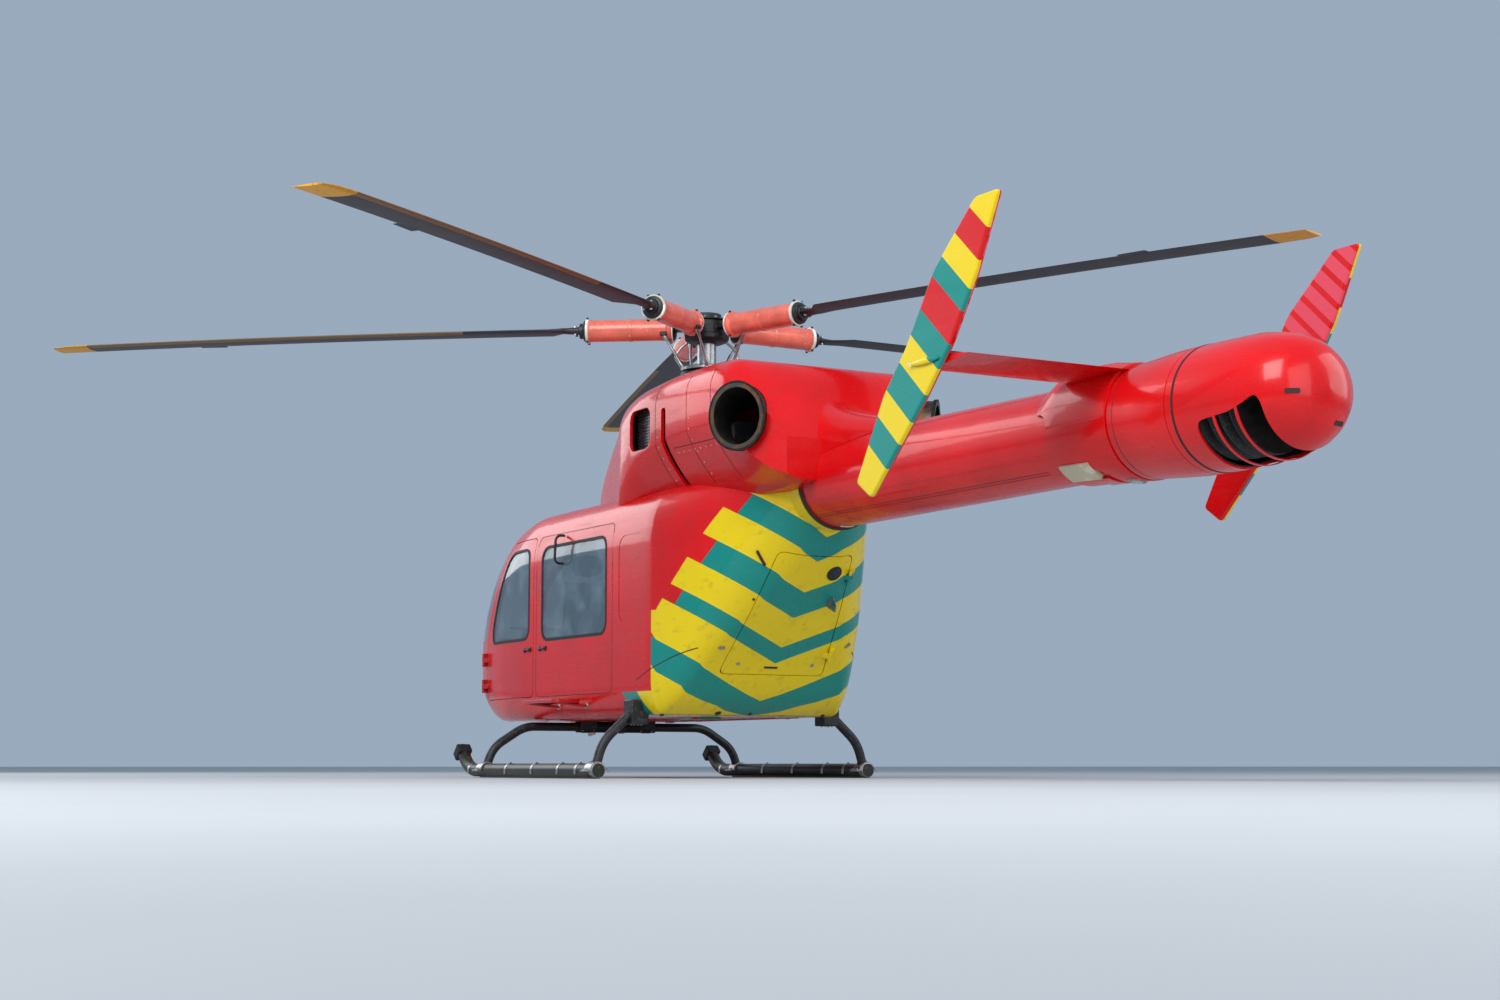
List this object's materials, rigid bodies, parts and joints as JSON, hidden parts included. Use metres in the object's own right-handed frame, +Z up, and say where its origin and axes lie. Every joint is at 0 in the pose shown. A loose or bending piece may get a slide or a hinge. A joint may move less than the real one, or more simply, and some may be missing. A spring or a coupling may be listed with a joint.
{
  "type": "light twin-engine helicopter",
  "caption": "Helicopter on skids with a boxy glazed cabin, hinged crew doors, sliding cabin doors, a rear door, a main rotor and a turning air thruster at the tail.",
  "frame": {"origin": "centre of the hook plate face under the belly, on the rotor axis", "axes": "+Y aft towards the tail, +X to port, +Z up; the nose points to -Y"},
  "size_m": [9.4301, 11.512, 3.51],
  "materials": {
    "red_paint": "gloss red paint over composite",
    "tinted_glass": "clear acrylic, faintly blue",
    "black_paint": "semi-gloss black paint",
    "skid_paint": "worn dark olive paint",
    "engine_metal": "cast and machined",
    "mast_steel": "ground steel",
    "coral_paint": "coral red paint",
    "blade_skin": "satin near-black paint",
    "exhaust_steel": "heat-stained steel",
    "panel_plastic": "matt dark plastic",
    "seat_cloth": "dark woven cloth"
  },
  "bodies": {
    "airframe": {"belly_floor": "red_paint", "nose_frame": "red_paint", "cabin_frame": "red_paint", "aft_body": "red_paint", "cabin_door_port": "red_paint", "cabin_door_starboard": "red_paint", "tail_boom": "red_paint", "stabiliser": "red_paint", "fin_port": "red_paint", "fin_starboard": "red_paint", "engine_cowl": "red_paint", "step_port": "red_paint", "step_starboard": "red_paint", "windshield_port": "tinted_glass", "windshield_starboard": "tinted_glass", "chin_window_port": "tinted_glass", "chin_window_starboard": "tinted_glass", "cabin_window_port": "tinted_glass", "cabin_window_starboard": "tinted_glass", "rear_window_port": "tinted_glass", "rear_window_starboard": "tinted_glass", "hook_plate": "black_paint", "thruster_core": "black_paint", "swashplate": "black_paint", "front_cross_tube": "black_paint", "rear_cross_tube": "black_paint", "skid_port": "skid_paint", "skid_starboard": "skid_paint", "engine_port": "engine_metal", "engine_starboard": "engine_metal", "gearbox": "engine_metal", "rotor_mast": "mast_steel", "exhaust_port": "exhaust_steel", "exhaust_starboard": "exhaust_steel", "instrument_panel": "panel_plastic", "crew_seat_port": "seat_cloth", "crew_seat_starboard": "seat_cloth", "cabin_bench": "seat_cloth"},
    "rotor": {"rotor_head": "coral_paint", "blade_1": "blade_skin", "blade_2": "blade_skin", "blade_3": "blade_skin", "blade_4": "blade_skin", "blade_5": "blade_skin"},
    "thruster": {"thruster_cone": "red_paint"},
    "crew_door_port": {"crew_door_port": "red_paint", "crew_window_port": "tinted_glass"},
    "crew_door_starboard": {"crew_door_starboard": "red_paint", "crew_window_starboard": "tinted_glass"},
    "rear_door": {"rear_door": "red_paint"}
  },
  "joints": [
    {"name": "main_rotor_spin", "type": "hinge", "parent": "airframe", "child": "rotor", "pos_m": [0, 0, 2.962], "axis": [0, 0, 1], "continuous": true},
    {"name": "thruster_cone_turn", "type": "hinge", "parent": "airframe", "child": "thruster", "pos_m": [0, 6, 1.582], "axis": [0, 1, 0], "range_deg": [-75, 75]},
    {"name": "crew_door_port_hinge", "type": "hinge", "parent": "airframe", "child": "crew_door_port", "pos_m": [0.768, -2.396, 0.412], "axis": [0, 0, -1], "range_deg": [0, 80]},
    {"name": "crew_door_starboard_hinge", "type": "hinge", "parent": "airframe", "child": "crew_door_starboard", "pos_m": [-0.768, -2.396, 0.412], "axis": [0, 0, 1], "range_deg": [0, 80]},
    {"name": "rear_door_hinge", "type": "hinge", "parent": "airframe", "child": "rear_door", "pos_m": [-0.43, 0.997, 0.307], "axis": [0.1293, 0.6, 0.7895], "range_deg": [0, 85]}
  ]
}
